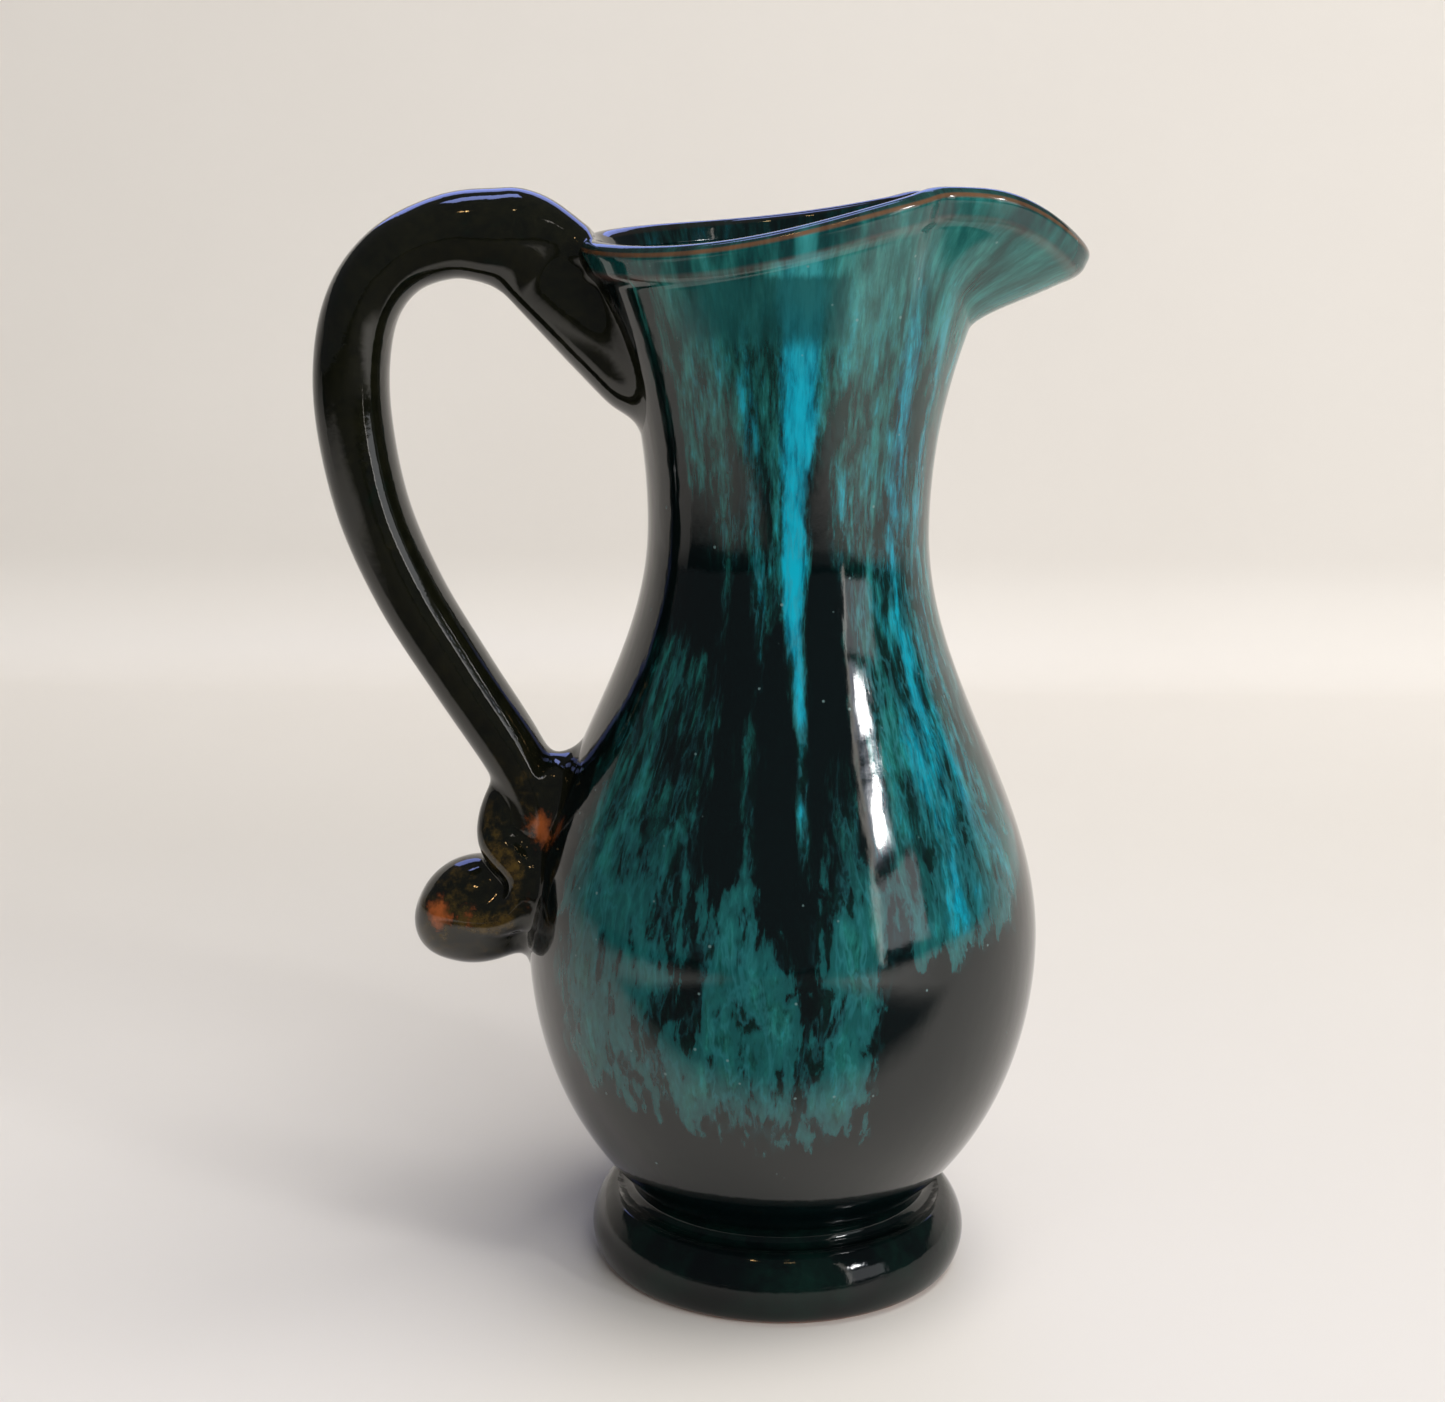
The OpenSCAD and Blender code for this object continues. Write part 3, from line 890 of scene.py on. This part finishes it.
lip = below.step(LIP_H + 0.6, LIP_H - 0.4) * outer_face
lip_dark = (lip * (0.70 - streak * 0.8)).step(0.1, 0.9)
colour = lip_dark.mix(colour, (streak + feather * 0.5).step(-0.4, 0.8).mix(LIP_SHADE, LIP_TEAL))
seam = (1 - abs(below - LIP_H - 0.2).step(0.1, 0.9)) * (0.5 + cloud * 0.4) * outer_face
colour = (seam * 0.5).mix(colour, SEAM)
edge = below.step(0.25, 0.5) * below.step(1.25, 0.8) * (0.7 + streak * 0.6) * outer_face
colour = place.math("MULTIPLY", edge, 0.9, clamp=True).mix(colour, BROWN)
crown = below.step(0.6, 0.2) * (0.8 + cloud * 0.3)
colour = (crown * 0.8).mix(colour, CROWN)
speck = place.node("TexVoronoi", {"feature": "F1"}, {"Vector": place, "Scale": 0.22}).step(0.07, 0.03)
colour = (speck * 0.55).mix(colour, SPECK)
plug(shader, Base_Color=colour, Roughness=0.04 + cover * 0.05 + (grain * cover).step(0.1, 0.9) * 0.10,
     Normal=bump(place, cloud * 0.5 + streak * 0.12 + hair * cover * 0.05 + grain * 0.02, 0.10),
     IOR=GLAZE_IOR)
print("nodes in the vessel's glaze:", len(drip_glaze.node_tree.nodes))

# %% [markdown]
# ## The glaze on the handle
# The same black glaze lies thinner on the handle, with an olive cast. On its ridges it breaks to
# gold, and where fingers rubbed it off the curl the rusty clay shows. The ridge value does the first,
# and four spots with ragged edges do the second. A painted texture would need an unwrapped handle.

# %% Black-olive, breaking to gold on the ridges
INK, OLIVE, DEEP_GREEN = (0.0016, 0.0022, 0.0014), (0.009, 0.009, 0.004), (0.003, 0.016, 0.010)
WORN, GOLD = (0.060, 0.030, 0.009), (0.085, 0.052, 0.009)
TAIL_TOP, TAIL_FULL = 96, 76   # heights between which the tail's gold sets in

olive_glaze, shader, place = begin("olive_glaze")
ridge = value_of(place, "ridge")
blotch = place.noise(0.16, 3.0, 0.6, 0.6)
mottle = place.noise(0.7, 4.0, 0.65)
grain = place.noise(2.4, 3.0, 0.6)
low_part = place.xyz()[2].step(TAIL_TOP, TAIL_FULL)
thin = (ridge * 5.0 + blotch * 0.8 + mottle * 0.5 + low_part * 0.2 - 0.8).step(0.1, 1.4)
colour = (mottle * 0.6 + blotch * 0.5).step(-0.6, 0.8).mix(INK, OLIVE)
colour = (blotch * -0.9 + grain * 0.2).step(0.2, 0.9).mix(colour, DEEP_GREEN)
colour = (thin * 0.55).mix(colour, WORN)
gold = (ridge * 3.0 + mottle * 1.2 + blotch * 0.7 + low_part * 0.4).step(0.5, 1.7) * low_part
colour = (gold * 0.7).mix(colour, GOLD)
print("gold only below", TAIL_TOP, "mm, where the tail begins")

# %% Rust where the clay shows through
RUST_CLAY = (0.30, 0.078, 0.018)
RUBBED = [  # x, z, reach and strength of each spot on the near side of the curl
    (-56.3, 61.0, 3.3, 1), (-50.8, 60.8, 2.6, 0.7), (-41.0, 64.6, 3.0, 0.8), (-39.6, 75.6, 3.4, 0.9)]
RUBBED_Y = -8.0   # how far out from the middle they all lie


def rubbed(x, z, reach):
    """1 at a spot where the brown clay shows, fading to 0 over its reach."""
    spot = (x, RUBBED_Y, z)
    away = place.node("VectorMath", {"operation": "DISTANCE"}, {0: place, 1: spot}, output=1)
    return (away + mottle * 2.6 + blotch * 1.5).step(reach, reach * 0.2)


rust = ((ridge * 3.0 + mottle * 1.1 + low_part * 0.4).step(1.3, 2.3)
        * (blotch - mottle * 0.3).step(-0.05, 0.55) * low_part)
for x, z, reach, strength in RUBBED:
    rust = rust.most(rubbed(x, z, reach) * strength)
colour = rust.mix(colour, RUST_CLAY)
plug(shader, Base_Color=colour, Roughness=0.045 + thin * 0.06 + grain.step(0.1, 0.8) * 0.03,
     Normal=bump(place, blotch * 0.35 + mottle * 0.06 + grain * 0.015, 0.08), IOR=GLAZE_IOR)
print("rubbed spots:", len(RUBBED))

# %% [markdown]
# ## The glaze on the foot
# The foot is black-green, and its standing ring was wiped clean so that the pot wouldn't stick to the
# kiln shelf. Height alone tells the two apart, so no second material or face selection is needed.

# %% Black-green, wiped off underneath
FOOT_BLACK, FOOT_GREEN = (0.0016, 0.003, 0.0035), (0.003, 0.016, 0.012)
THINNED, CLAY_SHADE, CLAY = (0.05, 0.020, 0.010), (0.16, 0.055, 0.03), (0.34, 0.15, 0.085)
GLAZED_FROM, WIPED_TO = 0.75, 0.45   # heights of the ragged line where the glaze was wiped off

dark_glaze, shader, place = begin("dark_glaze")
pz = place.xyz()[2]
cloud = place.noise(0.12, 3.0, 0.55)
mottle = place.noise(0.8, 4.0, 0.65)
grain = place.noise(3.0, 3.0, 0.65)
bare = (pz + mottle * 0.35).step(GLAZED_FROM, WIPED_TO)
colour = (cloud + mottle * 0.4).step(-0.4, 0.9).mix(FOOT_BLACK, FOOT_GREEN)
colour = (pz + mottle * 0.8).step(1.6, 0.5).mix(colour, THINNED)
colour = bare.mix(colour, grain.step(-0.5, 0.6).mix(CLAY_SHADE, CLAY))
plug(shader, Base_Color=colour, Roughness=0.05 + bare * 0.7 + grain.step(0, 1) * 0.03,
     Normal=bump(place, cloud * 0.5 + mottle * 0.10 + bare * grain * 0.5, 0.10),
     IOR=GLAZE_IOR, Specular_IOR_Level=0.26)
print("bare clay below about", (GLAZED_FROM + WIPED_TO) / 2, "mm")

# %% [markdown]
# ## On to the frame
# Each piece is said to ride on the part's one body and to stand for the CAD nodes whose clay it
# shows. The drawn handle stands for four nodes, because its skin has no seams between them.

# %% Every piece rides on the frame and takes its finish
for piece, nodes, slot, material in (
        (vessel, ["vessel"], "drip_glaze", drip_glaze), (foot, ["foot_ring"], "dark_glaze", dark_glaze),
        (handle, ["handle_pad", "handle_strap", "handle_curl", "tail_pad"], "olive_glaze", olive_glaze)):
    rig.ride(piece, "root")
    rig.replaces(piece, *nodes)
    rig.slot(piece, slot)
    piece.data.materials.append(material)
    print(piece.name, "stands for", nodes)

# %% [markdown]
# ## The studio
# A pale floor runs up into a pale wall behind the pot, with a quarter circle between them so that no
# line shows. Two planes would meet in a hard edge.

# %% Floor and wall, in metres
SWEEP_HALF, WALL_Y, BEND_R, WALL_TOP = 3.0, 0.46, 0.04, 0.36
STONE_SHADE, STONE = (0.72, 0.69, 0.65), (0.76, 0.735, 0.70)


def sweep_floor():
    """A profile carried along X: flat floor, a quarter circle, and a wall."""
    bend = np.radians(np.linspace(0, 90, 10))
    y = np.concatenate([[-SWEEP_HALF], WALL_Y - BEND_R + BEND_R * np.sin(bend), [WALL_Y]])
    z = np.concatenate([[0.0], BEND_R - BEND_R * np.cos(bend), [WALL_TOP]])
    x = np.array([-SWEEP_HALF, SWEEP_HALF])
    grid = np.stack(np.broadcast_arrays(x[:, None], y[None], z[None]), axis=-1)
    n = len(y)
    i = np.arange(n - 1)
    quads = np.stack([i, i + n, i + n + 1, i + 1], axis=1)
    return mesh_piece("floor", grid.reshape(-1, 3) / MM, quads.tolist())


floor = sweep_floor()
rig.stage(floor)
stone, shader, place = begin("pale_floor")
cloud = place.noise(0.006, 3.0, 0.5)
plug(shader, Base_Color=(cloud * 0.5 + 0.5).mix(STONE_SHADE, STONE), Roughness=0.5 + cloud * 0.03,
     Specular_IOR_Level=0.3)
floor.data.materials.append(stone)

# %% [markdown]
# A glossy black pot mirrors whatever lies in front of it. A black card lies there, out of
# the picture, to keep the glaze deep. It is a painted dark reflection: seen only in reflections and with
# soft edges, it makes the glaze mirror a dark floor in front of the pot, though the floor itself is lit.

# %% The black card in front: a painted dark reflection
CARD_HALF, CARD_BACK, CARD_LIFT, CARD_STRENGTH = 2900, -50, 0.5, 0.94

card = mesh_piece("reflected_shade_card", np.array([
    [-CARD_HALF, -CARD_HALF, CARD_LIFT], [CARD_HALF, -CARD_HALF, CARD_LIFT],
    [CARD_HALF, CARD_BACK, CARD_LIFT], [-CARD_HALF, CARD_BACK, CARD_LIFT]]), [[0, 1, 2, 3]])
card.visible_camera = card.visible_diffuse = card.visible_shadow = False
card.visible_transmission = card.visible_volume_scatter = False
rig.stage(card)
reflected_shade, shader, place = begin("painted_reflected_shade")
px, py, _ = place.xyz()
# Painted dark reflection: the card is dark ahead of the pot and far away, so the glaze mirrors the floor there as
# dark.
ahead = py.step(-62, -105) * px.step(-330, -200) * px.step(300, 130)
far = px.step(-380, -950).most(py.step(-300, -800))
plug(shader, Alpha=ahead.most(far) * CARD_STRENGTH, Base_Color=(0.012, 0.012, 0.014, 1), Roughness=0.9)
card.data.materials.append(reflected_shade)

# %% [markdown]
# From the side or from behind the floor would end against an empty world. A ring that looks like pale cloth
# stands round the table to close it off. Its glow is painted light, and it is dimmer towards its foot as
# painted shade. Only the camera sees it, so it changes no light on the pot.

# %% The screen round the table
SCREEN_R, SCREEN_H, SCREEN_SIDES, SCREEN_ROWS = 1250, 1400, 96, 9


def ring_screen():
    """A cylinder round the table: (r cos t, r sin t, z), seen from inside."""
    t = np.linspace(0, 2 * np.pi, SCREEN_SIDES + 1)[:, None]
    z = np.linspace(0, SCREEN_H, SCREEN_ROWS)[None, :]
    grid = np.stack(np.broadcast_arrays(SCREEN_R * np.cos(t), SCREEN_R * np.sin(t), z), axis=-1)
    i = (np.arange(SCREEN_SIDES)[:, None] * SCREEN_ROWS + np.arange(SCREEN_ROWS - 1)).ravel()
    quads = np.stack([i, i + 1, i + SCREEN_ROWS + 1, i + SCREEN_ROWS], axis=1)
    return mesh_piece("screen", grid.reshape(-1, 3), quads.tolist())


screen = ring_screen()
screen.visible_glossy = screen.visible_diffuse = screen.visible_shadow = False
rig.stage(screen)
screen_glow, shader, place = begin("screen_painted_glow")
# Painted light and shade: the screen glows paler higher up and darker near the floor, with a little noise.
height = (place.xyz()[2] + place.noise(0.004) * 60).step(-200, 700)
plug(shader, Emission_Color=height.mix((0.33, 0.32, 0.31), (0.62, 0.60, 0.57)), Emission_Strength=1.0,
     Base_Color=(0.02, 0.02, 0.02, 1), Roughness=1.0)
screen.data.materials.append(screen_glow)

# %% [markdown]
# ## Light
# On a black glaze the lights are seen twice: as light on the floor, and as shapes in the mirror. So
# some soft boxes give only highlights, and the large ones that light the floor aren't mirrored. A sky
# picture round the scene would do both at once and leave neither free.

# %% A soft box
def soft_box(name, place, target, size, power, colour, mirrored=True, shines=True):
    """A rectangular area light that points at a target, in metres and watts.

    One that isn't mirrored gives no highlight, and one that doesn't shine gives only highlights."""
    light = bpy.data.lights.new(name, "AREA")
    light.shape = "RECTANGLE"
    light.size, light.size_y = size
    light.energy = power
    light.color = colour
    lamp = bpy.data.objects.new(name, light)
    lamp.location = place
    lamp.visible_camera = False
    lamp.visible_glossy = mirrored
    lamp.visible_diffuse = shines
    lamp.rotation_euler = (Vector(target) - Vector(place)).to_track_quat("-Z", "Y").to_euler()
    bpy.context.collection.objects.link(lamp)
    print(f"{name}: {power} W, {size[0]} x {size[1]} m")


# %% Soft boxes that make the highlights
BELLY, MIDDLE = (0.01, -0.03, 0.1), (0, 0, 0.12)
DAYLIGHT, GLOW = (1.0, 0.99, 0.97), (0.80, 0.86, 1.0)
CURTAIN, COOL = (1.0, 0.93, 0.84), (0.95, 0.97, 1.0)
HIGH_SKY, LOW_SKY = (0.36, 0.45, 1.0), (0.34, 0.42, 1.0)
LAMPLIGHT, PALE_LAMPLIGHT = (1.0, 0.60, 0.24), (1.0, 0.66, 0.30)

soft_box("window", (1.00, -0.82, 0.69), BELLY, (0.15, 0.115), 3.0, DAYLIGHT)
soft_box("window_glow", (1.01, -0.83, 0.69), BELLY, (0.28, 0.20), 0.5, GLOW)
soft_box("curtain", (0.90, -0.96, 0.52), BELLY, (0.06, 1.1), 0.55, CURTAIN)
soft_box("side", (1.30, -0.95, 0.36), BELLY, (0.7, 0.5), 1.6, COOL)
soft_box("sky_above", (-0.15, 0.30, 1.15), (-0.02, 0, 0.12), (0.5, 0.25), 2.2, HIGH_SKY, shines=False)
soft_box("lamp", (-0.35, -0.80, 1.50), MIDDLE, (0.05, 0.05), 0.40, LAMPLIGHT, shines=False)
soft_box("second_lamp", (0.15, -0.95, 1.55), MIDDLE, (0.05, 0.05), 0.35, PALE_LAMPLIGHT, shines=False)
soft_box("sky", (0.0, 0.95, 0.80), MIDDLE, (1.3, 0.5), 6, LOW_SKY, shines=False)

# %% Soft boxes that light the floor, and the dim room
WARM_WHITE, FILL_WHITE = (1.0, 0.965, 0.93), (1.0, 0.98, 0.96)
ROOM_COLOUR, ROOM_STRENGTH = (0.9, 0.93, 1.0, 1), 0.08

soft_box("ceiling", (0.40, -0.1, 1.7), (0, 0.1, 0.1), (1.0, 0.9), 22, WARM_WHITE, mirrored=False)
soft_box("front_fill", (0.45, -1.30, 0.75), MIDDLE, (1.0, 0.7), 14, FILL_WHITE, mirrored=False)
world = bpy.data.worlds.new("room")
world.use_nodes = True
background = world.node_tree.nodes["Background"]
background.inputs["Color"].default_value = ROOM_COLOUR
background.inputs["Strength"].default_value = ROOM_STRENGTH
bpy.context.scene.world = world
print("room:", ROOM_STRENGTH)

# %% [markdown]
# ## The camera
# It stands in front of the pot's near side, a little above the mouth, and looks down by 13 degrees,
# so that the rim shows as a thin ellipse. The lens is a little longer than a normal one, and the
# Standard view keeps the glaze's colours as they are, where a filmic one would fade them.

# %% The camera
EYE = (-0.01017, -0.39419, 0.18719)
LENS, SENSOR_W = 62.2, 36
LOOK_DOWN, TILT = 13.14, 0.547   # degrees

camera_data = bpy.data.cameras.new("camera")
camera_data.sensor_fit = "HORIZONTAL"
camera_data.sensor_width = SENSOR_W
camera_data.lens = LENS
camera = bpy.data.objects.new("camera", camera_data)
look = (Matrix.Rotation(math.pi / 2 - math.radians(LOOK_DOWN), 4, "X")
        @ Matrix.Rotation(math.radians(TILT), 4, "Z"))
camera.matrix_world = Matrix.Translation(EYE) @ look
bpy.context.collection.objects.link(camera)
bpy.context.scene.camera = camera
bpy.context.scene.view_settings.view_transform = "Standard"
print("camera:", LENS, "mm lens, looking down", LOOK_DOWN, "degrees")

# %% [markdown] ## Sizes, then finish The visual model has to stay inside the frame's box.

# %% Sizes, then finish
json.dump({"cad": [list(c) for c in CAD_BOX], "visual": [list(c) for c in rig.bounds()]}, open("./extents.json", "w"))
print(json.load(open("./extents.json")))
